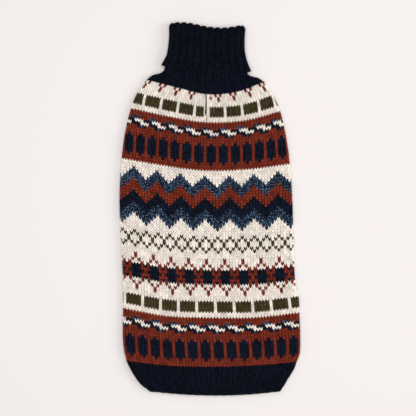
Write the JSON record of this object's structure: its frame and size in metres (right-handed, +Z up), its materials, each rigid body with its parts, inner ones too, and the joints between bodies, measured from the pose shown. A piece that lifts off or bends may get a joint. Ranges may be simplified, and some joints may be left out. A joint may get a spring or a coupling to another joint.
{
  "type": "dog sweater",
  "caption": "Knitted dog sweater lying flat, back up: ribbed roll collar and yoke, stranded colourwork body with a leash slit, drawn-in ribbed hem, two leg openings in the belly.",
  "frame": {"origin": "middle of the flat sweater's outline, on the surface it lies on", "axes": "+Y from the hem to the roll collar, +Z up out of the back, +X towards the right side fold seen from above with the collar at the top"},
  "size_m": [0.2718, 0.5568, 0.0141],
  "materials": {
    "back_wool": "stranded wool knit",
    "belly_wool": "stranded wool knit",
    "rib_wool": "ribbed wool knit"
  },
  "bodies": {
    "root": {"back_panel": "back_wool", "belly_panel": "belly_wool", "roll_collar": "rib_wool", "hem_rib": "rib_wool", "leg_band_left": "rib_wool", "leg_band_right": "rib_wool"}
  },
  "joints": []
}
